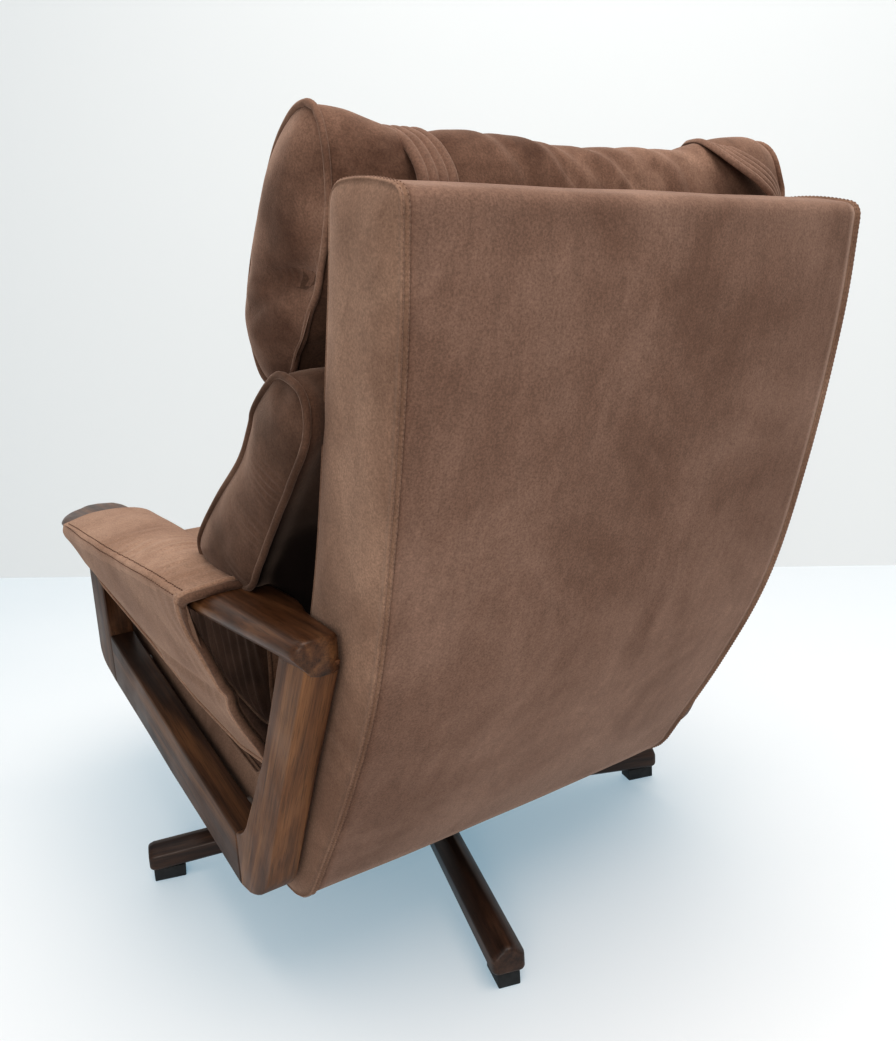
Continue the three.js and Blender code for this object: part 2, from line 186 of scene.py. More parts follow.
def velvet(name, dark, middle, light, fade=None):
    """Brushed cotton velvet: large patches of nap lying this way and that, streaks and a fine pile.

    fade is a pair of heights in metres between which the colour sinks into painted shade, near-black below the
    first, for the shadow in a gap.
    """
    material, tree, shader = new_material(name, roughness=0.92, specular_ior_level=0.12)
    shader.inputs["Sheen Weight"].default_value = 0.26
    shader.inputs["Sheen Roughness"].default_value = 0.4
    shader.inputs["Sheen Tint"].default_value = (1.0, 0.72, 0.58, 1)
    plain = object_space(tree)
    patches = cloud(tree, plain, 5.5, 4, 0.6, 0.5)
    colour = ramp(tree, patches, [(0.34, dark), (0.5, middle), (0.68, light)])
    strokes = cloud(tree, object_space(tree, (0.2, 0.1, 0.15), (80, 40, 22)), 1.0, 5, 0.7, 0.6)
    stroke_tone = ramp(tree, strokes, [(0.32, grey(0.40)), (0.5, grey(0.5)), (0.7, grey(0.59))])
    colour = blend_colours(tree, 0.5, colour, stroke_tone, "OVERLAY")
    pile = cloud(tree, plain, 420, 4, 0.75)
    pile_tone = ramp(tree, pile, [(0.36, grey(0.16)), (0.5, grey(0.5)), (0.64, grey(0.84))])
    colour = blend_colours(tree, 0.34, colour, pile_tone, "OVERLAY")
    # painted shade: below the fade heights the colour is darkened towards near-black
    if fade:
        height = node(tree, "ShaderNodeSeparateXYZ", {"Vector": plain}).outputs["Z"]
        inputs = {"Value": height, "From Min": fade[0], "From Max": fade[1]}
        share = node(tree, "ShaderNodeMapRange", inputs).outputs[0]
        colour = blend_colours(tree, share, PAINTED_GAP_SHADE, colour)
    tree.links.new(colour, shader.inputs["Base Color"])
    coarse = bump(tree, cloud(tree, plain, 95, 3, 0.6), 0.22, 0.0012)
    tree.links.new(bump(tree, pile, 0.5, 0.0006, coarse), shader.inputs["Normal"])
    return material


def wood(name, turn, dark, middle, light, roughness, coat):
    """Straight-grained timber whose grain runs along Y once the piece is turned."""
    material, tree, shader = new_material(name)
    shader.inputs["Coat Weight"].default_value = coat
    shader.inputs["Coat Roughness"].default_value = 0.28
    shader.inputs["Specular IOR Level"].default_value = 0.26
    figure = cloud(tree, object_space(tree, turn, (26, 2.2, 26)), 1.0, 4, 0.55, 1.2)
    colour = ramp(tree, figure, [(0.30, dark), (0.50, middle), (0.70, light)])
    lines = cloud(tree, object_space(tree, turn, (190, 7, 190)), 1.0, 3, 0.6, 0.3)
    line_tone = ramp(tree, lines, [(0.36, grey(0.22)), (0.5, grey(0.5)), (0.66, grey(0.72))])
    colour = blend_colours(tree, 0.5, colour, line_tone, "OVERLAY")
    pores = cloud(tree, object_space(tree, turn, (900, 26, 900)), 1.0, 2, 0.5)
    pore_tone = ramp(tree, pores, [(0.36, grey(0.12)), (0.44, grey(0.5)), (0.6, grey(0.55))])
    colour = blend_colours(tree, 0.45, colour, pore_tone, "OVERLAY")
    worn = cloud(tree, object_space(tree), 9, 3, 0.6)
    rough = ramp(tree, worn, [(0.3, grey(roughness - 0.1)), (0.7, grey(roughness + 0.12))])
    tree.links.new(colour, shader.inputs["Base Color"])
    tree.links.new(rough, shader.inputs["Roughness"])
    tree.links.new(bump(tree, pores, 0.25, 0.0004), shader.inputs["Normal"])
    return material


def metal(name, dark, light, metallic, roughness):
    material, tree, shader = new_material(name, metallic=metallic)
    brushed = cloud(tree, object_space(tree, (0, 0, 0), (400, 60, 400)), 1.0, 3, 0.6)
    tree.links.new(ramp(tree, brushed, [(0.3, dark), (0.7, light)]), shader.inputs["Base Color"])
    stained = cloud(tree, object_space(tree), 40, 4, 0.6)
    rough = ramp(tree, stained, [(0.3, grey(roughness - 0.08)), (0.7, grey(roughness + 0.14))])
    tree.links.new(rough, shader.inputs["Roughness"])
    tree.links.new(bump(tree, brushed, 0.12, 0.0003), shader.inputs["Normal"])
    return material


def moulded(name, dark, light, roughness):
    """Black rubber or plastic with a slight moulded texture and dust."""
    material, tree, shader = new_material(name, roughness=roughness)
    dust = cloud(tree, object_space(tree), 60, 5, 0.7)
    tree.links.new(ramp(tree, dust, [(0.4, dark), (0.75, light)]), shader.inputs["Base Color"])
    texture = cloud(tree, object_space(tree), 900, 2, 0.5)
    tree.links.new(bump(tree, texture, 0.3, 0.0003), shader.inputs["Normal"])
    return material


VELVET = velvet("velvet", (0.132, 0.073, 0.051), (0.172, 0.100, 0.072), (0.212, 0.128, 0.094))
# a lighter copy of the velvet: on the side bands partly their nap and partly painted light; on the arm sleeves
# it is painted shade on faces that do not look up
VELVET_LIT_BAND_SHADED_FLAP = velvet("velvet_lit_band_shaded_flap", (0.155, 0.088, 0.060), (0.202, 0.120, 0.083), (0.255, 0.157, 0.110))
VELVET_HEAD = velvet("velvet_head", (0.075, 0.037, 0.024), (0.158, 0.088, 0.061), (0.265, 0.160, 0.114))
DARK_VELVET_TONES = ((0.048, 0.024, 0.015), (0.096, 0.052, 0.035), (0.150, 0.087, 0.060))
# darker velvet: the lumbar cushion's own tone, and painted shade on the headrest's rear faces and the seat's end
# panels
VELVET_DARK_AND_SHADE = velvet("velvet_dark_and_shade", *DARK_VELVET_TONES)
VELVET_LIGHT = velvet("velvet_light", (0.200, 0.113, 0.075), (0.255, 0.152, 0.104), (0.31, 0.193, 0.136))
THREAD = velvet("thread", (0.075, 0.037, 0.024), (0.105, 0.055, 0.037), (0.135, 0.073, 0.051))
# painted shade: dark velvet fading to near-black lower down, standing in for the deep shadow between the lumbar
# cushion and the shell
LUMBAR_REAR_SHADE = velvet("lining", *DARK_VELVET_TONES, (0.58, 0.73))
WALNUT_TONES = ((0.020, 0.008, 0.004), (0.060, 0.025, 0.011), (0.125, 0.056, 0.024))
ARM_TONES = ((0.022, 0.009, 0.003), (0.068, 0.027, 0.011), (0.150, 0.068, 0.028))
POST_TONES = ((0.040, 0.015, 0.006), (0.105, 0.043, 0.017), (0.185, 0.084, 0.034))
DARK_TONES = ((0.009, 0.004, 0.002), (0.026, 0.011, 0.006), (0.056, 0.026, 0.014))
PLYWOOD_TONES = ((0.30, 0.18, 0.09), (0.42, 0.27, 0.14), (0.52, 0.35, 0.2))
UPRIGHT = math.radians(90)
REAR_POST_LEAN = math.radians(118)
RAIL_SLOPE = math.radians(15)
WALNUT_ARM = wood("walnut_arm", (0, 0, 0), *ARM_TONES, 0.40, 0.08)
WALNUT_POST = wood("walnut_post", (REAR_POST_LEAN, 0, 0), *POST_TONES, 0.50, 0.03)
WALNUT_UPRIGHT = wood("walnut_upright", (UPRIGHT, 0, 0), *WALNUT_TONES, 0.48, 0.05)
WALNUT_RAIL = wood("walnut_rail", (RAIL_SLOPE, 0, 0), *WALNUT_TONES, 0.48, 0.05)
PLYWOOD = wood("plywood", (UPRIGHT, 0, 0), *PLYWOOD_TONES, 0.6, 0)
STEEL = metal("steel", grey(0.38), grey(0.55), 1.0, 0.34)
BLACK_STEEL = metal("black_steel", grey(0.012), grey(0.03), 0.5, 0.42)
RUBBER = moulded("rubber", grey(0.006), grey(0.022), 0.72)
PLASTIC = moulded("knob_plastic", grey(0.008), grey(0.018), 0.38)


# ---- mesh helpers -------------------------------------------------------------------------------------
def in_frame(points):
    """Millimetres from the swivel axis to metres in the row frame."""
    moved = np.asarray(points, float) * MM
    moved[:, 1] += SWIVEL_Y
    return moved


def make_mesh(name, points, faces, material, sharp=None):
    """A smooth mesh from points in millimetres; sharp is the angle over which an edge stays crisp."""
    mesh = bpy.data.meshes.new(name)
    mesh.from_pydata(in_frame(points).tolist(), [], faces)
    work = bmesh.new()
    work.from_mesh(mesh)
    bmesh.ops.remove_doubles(work, verts=work.verts, dist=0.02 * MM)
    bmesh.ops.dissolve_degenerate(work, dist=0.005 * MM, edges=work.edges)
    bmesh.ops.recalc_face_normals(work, faces=work.faces)
    work.to_mesh(mesh)
    work.free()
    mesh.materials.append(material)
    mesh.shade_smooth()
    if sharp:
        mesh.set_sharp_from_angle(angle=math.radians(sharp))
    return linked(name, mesh)


def grid_faces(rows, columns, start=0, ring=False):
    """Quads of a grid of points stored row by row; ring joins the ends of each row."""
    last = columns if ring else columns - 1
    faces = []
    for r in range(rows - 1):
        for c in range(last):
            a, b = start + r * columns + c, start + r * columns + (c + 1) % columns
            faces.append((a, b, b + columns, a + columns))
    return faces


def end_caps(rings, size):
    """The first and the last of a row of rings, as the faces that close its ends."""
    return [tuple(range(size)), tuple(range((rings - 1) * size, rings * size))]


def curve(p, steps):
    """Points of a smooth curve through all of p but the first and the last two, steps to each stretch."""
    t = np.linspace(0, 1, steps, endpoint=False)[:, None]
    stretches = []
    for a, b, c, d in zip(p, p[1:], p[2:], p[3:]):
        squared, cubed = 2 * a - 5 * b + 4 * c - d, 3 * b - a - 3 * c + d
        stretches.append(0.5 * (2 * b + (c - a) * t + squared * t**2 + cubed * t**3))
    return np.vstack(stretches)


def spline(points, count):
    """count points spaced evenly along a smooth curve through the given ones."""
    p = np.asarray(points, float)
    p = np.vstack([2 * p[0] - p[1], p, 2 * p[-1] - p[-2]])
    return evenly(np.vstack([curve(p, 24), p[-2:-1]]), count)


def evenly(line, count):
    length = np.concatenate([[0], np.cumsum(np.linalg.norm(np.diff(line, axis=0), axis=1))])
    at = np.linspace(0, length[-1], count)
    return np.column_stack([np.interp(at, length, line[:, k]) for k in range(line.shape[1])])


def smooth_step(value, low, high):
    t = np.clip((np.asarray(value, float) - low) / (high - low), 0, 1)
    return t * t * (3 - 2 * t)


def bell(value, middle, width):
    return np.exp(-(((np.asarray(value, float) - middle) / width) ** 2))


def unit(vectors):
    return vectors / np.linalg.norm(vectors, axis=1)[:, None]


def turbulence(points, size, seed):
    """Smooth noise from -1 to 1 at points in millimetres, with features about size across."""
    shift = Vector((seed * 17.3, seed * 5.1, seed * 9.7))
    return np.array([noise.noise(Vector(p) / size + shift) for p in points])


class Outline:
    """A closed side view of four edges: rear and front run downwards, top and bottom run to the front."""

    def __init__(self, rear, front, top, bottom):
        self.rear, self.front, self.top, self.bottom = rear, front, top, bottom

    @classmethod
    def around(cls, points, corners, rows, columns):
        """Cuts a smooth closed curve at four of its points: rear top, rear bottom, front bottom and top."""
        steps = 40
        p = np.asarray(points, float)
        count = len(p)
        fine = curve(np.vstack([p[-1:], p, p[:2]]), steps)

        def edge(first, last, number):
            span = (last - first) % count
            picked = [(first * steps + i) % (count * steps) for i in range(span * steps + 1)]
            return evenly(fine[picked], number)

        rear_top, rear_bottom, front_bottom, front_top = corners
        return cls(
            edge(rear_top, rear_bottom, rows),
            edge(front_bottom, front_top, rows)[::-1],
            edge(front_top, rear_top, columns)[::-1],
            edge(rear_bottom, front_bottom, columns),
        )

    def loop(self):
        return np.vstack([self.rear, self.bottom[1:-1], self.front[::-1], self.top[::-1][1:-1]])

    def filled(self):
        """A grid of points that fills the outline, row by row from the top."""
        v = np.linspace(0, 1, len(self.rear))[:, None, None]
        w = np.linspace(0, 1, len(self.top))[None, :, None]
        sideways = self.rear[:, None] * (1 - w) + self.front[:, None] * w
        downwards = self.top[None] * (1 - v) + self.bottom[None] * v
        corners = (1 - v) * ((1 - w) * self.rear[0] + w * self.front[0])
        corners = corners + v * ((1 - w) * self.rear[-1] + w * self.front[-1])
        return (sideways + downwards - corners).reshape(-1, 2)


def edge_distance(points, loop):
    return np.sqrt(((points[:, None] - loop[None]) ** 2).sum(2)).min(1)


def outward(loop):
    """Unit normals of a closed outline, pointing out of it."""
    along = unit(np.roll(loop, -1, 0) - np.roll(loop, 1, 0))
    normal = np.column_stack([along[:, 1], -along[:, 0]])
    area = np.sum(loop[:, 0] * np.roll(loop[:, 1], -1) - np.roll(loop[:, 0], -1) * loop[:, 1])
    return normal if area > 0 else -normal


def across(x, outline):
    """An outline's points (y, z) as points in space at the given x."""
    return np.column_stack([np.full(len(outline), x), outline])


# a direction that no cord runs along, to build the cords' cross sections from
LEAN = np.array([0.31, 0.52, 0.80])


def tube(name, line, radius, material, closed=False, sides=10):
    """A round cord of the given radius along a line of points in millimetres."""
    line = np.asarray(line, float)
    along = unit(np.roll(line, -1, 0) - np.roll(line, 1, 0) if closed else np.gradient(line, axis=0))
    side = unit(np.cross(along, LEAN))
    other = np.cross(along, side)
    rings = []
    for k in range(sides):
        turn = 2 * math.pi * k / sides
        rings.append(line + radius * (math.cos(turn) * side + math.sin(turn) * other))
    points = np.stack(rings, 1).reshape(-1, 3)
    count = len(line)
    faces = grid_faces(count, sides, 0, True)
    if closed:
        last = (count - 1) * sides
        faces += [(last + k, last + (k + 1) % sides, (k + 1) % sides, k) for k in range(sides)]
    else:
        faces += end_caps(count, sides)
    return make_mesh(name, points, faces, material)


def stitches(name, line, normal, material, length=4.2, gap=2.0, radius=0.65):
    """A row of short threads lying along a line of points, lifted along the normals."""
    line, normal = np.asarray(line, float), np.asarray(normal, float)
    total = np.linalg.norm(np.diff(line, axis=0), axis=1).sum()
    count = max(2, int(total / (length + gap)))
    both = evenly(np.hstack([line, normal]), count * 2)
    points, faces = [], []
    for i in range(count):
        start, end = both[2 * i, :3], both[2 * i + 1, :3]
        up = both[2 * i, 3:] / np.linalg.norm(both[2 * i, 3:])
        middle = (start + end) / 2
        half = (end - start) / 2
        half *= length / 2 / max(np.linalg.norm(half), 1e-6)
        side = np.cross(half, up)
        side *= radius / max(np.linalg.norm(side), 1e-6)
        for share, size in ((-1, 0.35), (-0.6, 1), (0.6, 1), (1, 0.35)):
            centre = middle + half * share + up * radius * (0.6 if abs(share) < 1 else -0.4)
            for k in range(6):
                turn = math.pi * k / 3
                points.append(centre + size * (side * math.cos(turn) + up * radius * math.sin(turn)))
        faces += grid_faces(4, 6, 24 * i, True)
        faces += [tuple(24 * i + k for k in range(6)), tuple(24 * i + 18 + k for k in range(6))]
    return make_mesh(name, np.array(points), faces, material)


def finish_piece(piece, body, slot, *nodes, fill=None):
    """Rides the piece on its body and hides the CAD nodes that it stands for."""
    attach(piece, body)
    if nodes:
        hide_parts(*nodes)
    return piece


# ---- upholstered shell --------------------------------------------------------------------------------
SHELL_HALF = 316
SEAM_INNER = 306.5
BOTTOM_CORNER = np.array([188.5, 189.0])
BOTTOM_RADIUS = 85
UNDERSIDE_TILT = math.radians(17)
DECK_FRONT = -430
SHELL_COLUMNS = 61
COVER_THICKNESS = 6


def rounded(corner, before, after, radius, count=9):
    """A soft corner between a line that arrives from before and one that leaves towards after."""
    corner = np.asarray(corner, float)
    a = corner + radius * (np.asarray(before) - corner) / np.linalg.norm(np.asarray(before) - corner)
    b = corner + radius * (np.asarray(after) - corner) / np.linalg.norm(np.asarray(after) - corner)
    t = np.linspace(0, 1, count)[:, None]
    return (1 - t) ** 2 * a + 2 * t * (1 - t) * corner + t**2 * b


def shell_outline(down=230, across_count=26):
    back = spline([(566, 914), (546, 786), (502, 610), (446, 445), (366, 301), (258, 140)], 60)
    turns = [math.radians(angle) for angle in (-50, -65, -80, -95, -107)]
    arc = [BOTTOM_CORNER + BOTTOM_RADIUS * np.array([math.cos(a), math.sin(a)]) for a in turns]
    under_start = arc[-1]
    deck_bottom = under_start + (under_start[0] - DECK_FRONT) * np.array([-1, math.tan(UNDERSIDE_TILT)])
    inner = spline([(449, 934), (428, 834), (374, 640), (330, 515), (262, 380), (180, 272)], 50)
    deck_top = np.array([DECK_FRONT, 344.0])
    rear_top, front_top = back[0], inner[0]
    rear_arc = rounded(rear_top, front_top, back[3], 15)
    front_arc = rounded(front_top, rear_top, inner[4], 24)
    low_arc = rounded(deck_bottom, under_start, deck_top, 18)
    high_arc = rounded(deck_top, deck_bottom, (110, 236), 18)
    below = back[np.linalg.norm(back - rear_top, axis=1) > 18]
    inner_below = inner[np.linalg.norm(inner - front_top, axis=1) > 28]
    rear = np.vstack([rear_arc[4:], below, arc, low_arc[:5]])
    front = np.vstack([front_arc[4:], inner_below, [(110, 236)], high_arc[::-1][:5]])
    top = np.vstack([rear_arc[:5][::-1], front_arc[:5]])
    lift = np.array([0.14, 0.99])
    top = evenly(top, across_count)
    top += 4.5 * np.sin(np.linspace(0, math.pi, across_count))[:, None] * lift
    bottom = evenly(np.vstack([low_arc[4:], high_arc[:5]]), across_count)
    return Outline(evenly(rear, down), evenly(front, down), top, bottom)


def band_bulge(depth):
    """How far the side band stands out of its seam, by the distance from its edge."""
    return 7.5 * (1 - (1 - np.clip(depth / 42, 0, 1)) ** 2)


def build_shell():
    outline = shell_outline()
    loop = outline.loop()
    normal = outward(loop)
    count_down = len(outline.rear)
    rear_end = count_down + 2
    front_start = count_down + len(outline.bottom) - 2
    # the padding is fullest towards the bottom of the back, thin at the top edge and flat underneath
    place = np.arange(len(loop)) / count_down
    fullness = 3.0 + 7.5 * smooth_step(place, 0.05, 0.5)
    fullness *= np.where(place < 1.1, 1 - smooth_step(place, 0.47, 0.59), 0)
    fullness *= smooth_step(np.arange(len(loop)), 0, 12)

    def rim(x):
        crown = fullness * (1 - (abs(x) / SEAM_INNER) ** 2.4)
        return across(x, loop + normal * crown[:, None])

    columns = [rim(x) for x in np.linspace(-SEAM_INNER, SEAM_INNER, SHELL_COLUMNS)]
    rim_points = np.stack(columns, 1)
    ripple = turbulence(rim_points.reshape(-1, 3), 120, 2).reshape(rim_points.shape[:2]) * 1.1
    inside = 1 - (np.abs(np.linspace(-1, 1, SHELL_COLUMNS)) ** 6)
    rim_points[:, :, 1:] += normal[:, None] * (ripple * inside)[:, :, None]

    def rim_piece(name, rows):
        count, wide = len(rows), SHELL_COLUMNS
        points = rim_points[rows].reshape(-1, 3)
        inner = points.copy()
        inner[:, 1:] -= np.repeat(normal[rows], wide, 0) * COVER_THICKNESS
        size = len(points)
        faces = grid_faces(count, wide)
        faces += [tuple(size + i for i in face) for face in faces]
        border = [*range(wide), *range(2 * wide - 1, count * wide, wide)]
        border += [*range(count * wide - 2, (count - 1) * wide - 1, -1)]
        border += [*range((count - 2) * wide, 0, -wide)]
        for a, b in zip(border, border[1:] + border[:1]):
            faces.append((a, b, b + size, a + size))
        return make_mesh(name, np.vstack([points, inner]), faces, VELVET)

    total = len(loop)
    top_start = front_start + count_down
    back_rows = list(range(top_start - 4, total)) + list(range(rear_end + 1))
    front_rows = list(range(rear_end, top_start - 3))
    finish_piece(rim_piece("back_panel", back_rows), "seat", "velvet", "back_cover")
    finish_piece(rim_piece("inner_panel", front_rows), "seat", "velvet", "inner_cover")
    for side, sign in SIDES:
        build_side_band(side, sign, outline, loop, normal)


# The narrow strip between the two seams: (x, outward offset) across the edge of the shell.
SEAM_PROFILE = (
    (SEAM_INNER - 1.0, -6.0), (SEAM_INNER, -0.8), (SEAM_INNER + 0.4, 1.0), (SEAM_INNER + 1.6, 1.9),
    (SEAM_INNER + 2.8, 1.0), (SEAM_INNER + 3.6, -0.3), (SEAM_INNER + 4.6, -0.5), (SEAM_INNER + 5.4, -0.2),
    (SEAM_INNER + 6.2, 1.0), (SEAM_INNER + 7.6, 1.9), (SEAM_INNER + 8.9, 1.5), (SEAM_INNER + 9.6, 0.6),
    (SEAM_INNER + 9.9, -0.3),
)
SEAM_RIDGES = (1.6, 7.6)


def build_side_band(side, sign, outline, loop, normal):
    rows = []
    for x, offset in SEAM_PROFILE:
        rows.append(across(sign * x, loop + normal * offset))
    edge = loop - normal * 1.0
    filled = outline.filled()
    depth = edge_distance(filled, loop)
    pull = np.clip(1.0 - depth, 0, 1.0)
    heart = filled.mean(0)
    toward = heart - filled
    toward /= np.maximum(np.linalg.norm(toward, axis=1), 1e-6)[:, None]
    on_edge = depth < 0.01
    nearest = np.argmin(((filled[:, None] - loop[None]) ** 2).sum(2), 1)
    moved = np.where(on_edge[:, None], edge[nearest], filled - normal[nearest] * pull[:, None])
    x = SHELL_HALF - 0.5 + band_bulge(depth)
    cap = np.column_stack([sign * x, moved])
    cap[:, 0] += sign * 0.9 * turbulence(cap, 70, 5) * smooth_step(depth, 4, 30)
    for z, width, strength in ((536, 3.2, 1.6), (372, 3.6, 1.8), (360, 2.6, 1.0)):
        window = smooth_step(depth, 2, 14) * (1 - smooth_step(depth, 34, 62))
        line = z + 9 * np.sin(cap[:, 1] / 23)
        cap[:, 0] -= sign * strength * bell(cap[:, 2], line, width) * window
    rows.append(across(sign * (SHELL_HALF - 0.5), edge))
    points = np.vstack([*rows, cap])
    faces = grid_faces(len(rows), len(loop), 0, True)
    start = len(rows) * len(loop)
    faces += grid_faces(len(outline.rear), len(outline.top), start)
    # the side band takes the lighter velvet: partly its brushed nap, partly painted light where it bulges
    # towards the light
    band = make_mesh(f"side_band_cover_{side}", points, faces, VELVET_LIT_BAND_SHADED_FLAP)
    finish_piece(band, "seat", "velvet", f"side_band_{side}")
    over_top, down_rear = len(outline.top), len(outline.rear) + 4
    for number, ridge in enumerate(SEAM_RIDGES):
        picked = np.vstack([loop[-over_top:], loop[:down_rear]])
        out = np.vstack([normal[-over_top:], normal[:down_rear]])
        line = across(sign * (SEAM_INNER + ridge), picked + out * 1.8)
        row = stitches(f"band_stitch_{number + 1}_{side}", line, across(0, out), VELVET, 2.8, 2.4, 0.5)
        finish_piece(row, "seat", "velvet")


# ---- cushions -----------------------------------------------------------------------------------------
def cushion(name, outline, half, material, swell, end_swell, shape, columns=101, end_reach=55):
    """A stuffed form: the outline carried across X between two seams, with domed end panels.

    swell is how far the cover stands out of its seams; shape moves the finished points.
    """
    loop = outline.loop()
    normal = outward(loop)
    share = np.linspace(-1, 1, columns)
    xs = half * np.sign(share) * (1 - (1 - np.abs(share)) ** 1.25)
    rings = []
    for x in xs:
        rise = swell * (1 - (1 - np.clip((half - abs(x)) / 46, 0, 1)) ** 2)
        rings.append(across(x, loop + normal * rise))
    points = [np.vstack(rings)]
    faces = grid_faces(columns, len(loop), 0, True)
    filled = outline.filled()
    depth = edge_distance(filled, loop)
    start = columns * len(loop)
    for sign in (-1, 1):
        dome = end_swell * (1 - (1 - np.clip(depth / end_reach, 0, 1)) ** 2)
        points.append(np.column_stack([sign * (half + dome), filled]))
        faces += grid_faces(len(outline.rear), len(outline.top), start)
        start += len(filled)
    return make_mesh(name, shape(np.vstack(points)), faces, material)


def paint_shade_faces(piece, material, chosen):
    """Gives another material to the faces that chosen(centre in mm, normal) picks; here it paints shade onto
    faces that lie in shadow.
    """
    piece.data.materials.append(material)
    for face in piece.data.polygons:
        if chosen(face.center / MM, face.normal):
            face.material_index = 1


def subdivide(piece):
    modifier = piece.modifiers.new("soft", "SUBSURF")
    modifier.levels = modifier.render_levels = 1


def piping(name, outline, x, shape, radius, material, lift=0.8):
    loop = outline.loop()
    line = shape(across(x, loop + outward(loop) * lift))
    made = tube(name, line, radius, material, closed=True)
    finish_piece(made, "seat", "velvet")


HEAD_HALF = 307
# how far the top of the headrest rises or sinks along X: full ends, slack between the straps
HEAD_TOP = (
    (-320, -6), (-285, 2), (-250, -2), (-190, -21), (-145, -21), (0, -27), (100, -18), (160, -19), (200, -27),
    (245, -15), (270, -8), (305, -2),
)
HEAD_HEART = np.array([316, 888])
PINCH_HEIGHT = 862
HEAD_POINTS = (
    (302, 755), (352, 804), (394, 852), (427, 920), (428, 980), (409, 1010), (362, 1009), (308, 988),
    (262, 944), (220, 889), (196, 838), (206, 794), (246, 762),
)


def head_shape(points):
    """Lobes at the ends, pulled in where the straps pass, with pleats between them."""
    x, y, z = points.T
    side = np.abs(x)
    strap = np.where(x > 0, bell(side, 196, 24), bell(side, 240, 26))
    upper = smooth_step(z, 880, 1000)
    size = 1 - 0.03 * strap * (1 - upper)
    y2 = HEAD_HEART[0] + (y - HEAD_HEART[0]) * size
    z2 = HEAD_HEART[1] + (z - HEAD_HEART[1]) * size
    places, rises = np.array(HEAD_TOP, float).T
    window = np.hanning(11) / np.hanning(11).sum()
    rise = np.convolve(np.interp(np.arange(-350, 352, 2), places, rises), window, "valid")
    rise = np.interp(x, np.linspace(-340, 340, len(rise)), rise)
    z2 = z2 + upper * rise
    # the right end is stretched outwards by its strap, and the front seams lie further in than the rear ones
    stretch = bell(z, 945, 62) + 0.35 * smooth_step(z, 960, 1010)
    x2 = x - 46 * smooth_step(-x, 200, 305) * stretch
    x2 -= np.sign(x) * 13 * smooth_step(side, 250, 307) * (1 - smooth_step(y - 0.5 * (z - 888), 220, 330))
    moved = np.column_stack([x2, y2, z2])
    return moved + head_folds(moved, upper, side)


# pleats that run down and outwards behind the top edge (x, lean, width, depth), and those in front
REAR_PLEATS = (
    (112, -0.35, 9, 3.2), (52, -0.6, 7, 3.8), (24, -0.8, 7, 3.4), (-22, -1.05, 7, 4.2), (-82, -0.7, 9, 1.8),
    (-134, -0.5, 9, 2.6),
)
FRONT_PLEATS = ((130, 7, 2.4), (70, 9, 3.0), (10, 8, 2.6), (-60, 9, 3.2), (-120, 8, 2.4))


def head_folds(points, upper, side):
    """The cover's pleats, creases and pinches, as moves of the points."""
    x, y, z = points.T
    out = np.column_stack([np.zeros_like(x), y - HEAD_HEART[0], z - HEAD_HEART[1]])
    out /= np.maximum(np.linalg.norm(out, axis=1), 1)[:, None]
    depth = np.zeros_like(x)
    behind = smooth_step(y, 300, 380)
    top = smooth_step(z, 900, 950) * (1 - smooth_step(side, 170, 200))
    for start, lean, width, strength in REAR_PLEATS:
        line = start + lean * (990 - z) - 0.45 * (y - 390) * (y > 390) + 3 * np.sin(z / 9 + start)
        depth += strength * bell(x, line, width) * top * behind
        depth -= 0.4 * strength * bell(x, line + 2.3 * width, width * 1.7) * top * behind
    for start, width, strength in FRONT_PLEATS:
        line = start + 14 * np.sin(z / 37)
        depth += strength * bell(x, line, width) * (1 - behind) * smooth_step(z, 860, 960) * (side < 200)
    # slack in the lower rear and a pinch in each end panel
    lower = 1 - smooth_step(z, 800, 900)
    depth += lower * 2.2 * np.sin(z / 6.5 + 0.6 * np.sin(x / 40)) * smooth_step(y, 250, 330)
    moved = -out * depth[:, None]
    end = smooth_step(side, 307.5, 315)
    pinch = 18 * bell(z, PINCH_HEIGHT - 0.14 * (y - 340), 8) * bell(y, 376, 50)
    pinch += 9 * bell(z, PINCH_HEIGHT - 6, 22) * bell(y, 368, 70)
    pinch += 2.6 * bell(z, 838 + 0.3 * (y - 300), 7) * bell(y, 300, 40)
    pinch += 2.4 * bell(z, 905 - 0.2 * (y - 330), 12) * bell(y, 350, 40)
    pinch -= 2.6 * bell(z, 848, 8) * bell(y, 300, 40)
    moved[:, 0] -= np.sign(x) * pinch * end
    ripple = turbulence(points, 55, 11) * 1.6
    moved += out * ripple[:, None]
    moved[:, 0] += np.sign(x) * turbulence(points, 45, 3) * 1.8 * end
    crease = np.sin((z + 0.55 * y) / 7.5 + 2.4 * turbulence(points, 60, 14))
    moved[:, 0] += np.sign(x) * 1.1 * crease * end * bell(z, 850, 70)
    return moved


def build_headrest():
    outline = Outline.around(HEAD_POINTS, (4, 1, 11, 7), 66, 34)
    made = cushion("headrest_velvet", outline, HEAD_HALF, VELVET_HEAD, 5, 22, head_shape, 101, 66)
    # painted shade: the headrest's rear-facing faces below the shell's top edge take the dark velvet
    paint_shade_faces(made, VELVET_DARK_AND_SHADE, lambda at, normal: normal.y > 0.2 and abs(at.x) < HEAD_HALF - 1 and at.z < 925)
    subdivide(made)
    finish_piece(made, "seat", "velvet", "headrest_cushion", fill=0.8)
    for side, sign in SIDES:
        piping(f"headrest_piping_{side}", outline, sign * HEAD_HALF, head_shape, 3.5, VELVET_HEAD, 1.4)


LUMBAR_HALF = 340
LUMBAR_POINTS = (
    (360, 765), (395, 755), (410, 740), (410, 720), (395, 695), (350, 650), (305, 605), (255, 555),
    (225, 525), (185, 515), (145, 515), (95, 525), (70, 545), (85, 570), (155, 620), (235, 670),
    (275, 710), (290, 730), (330, 755),
)


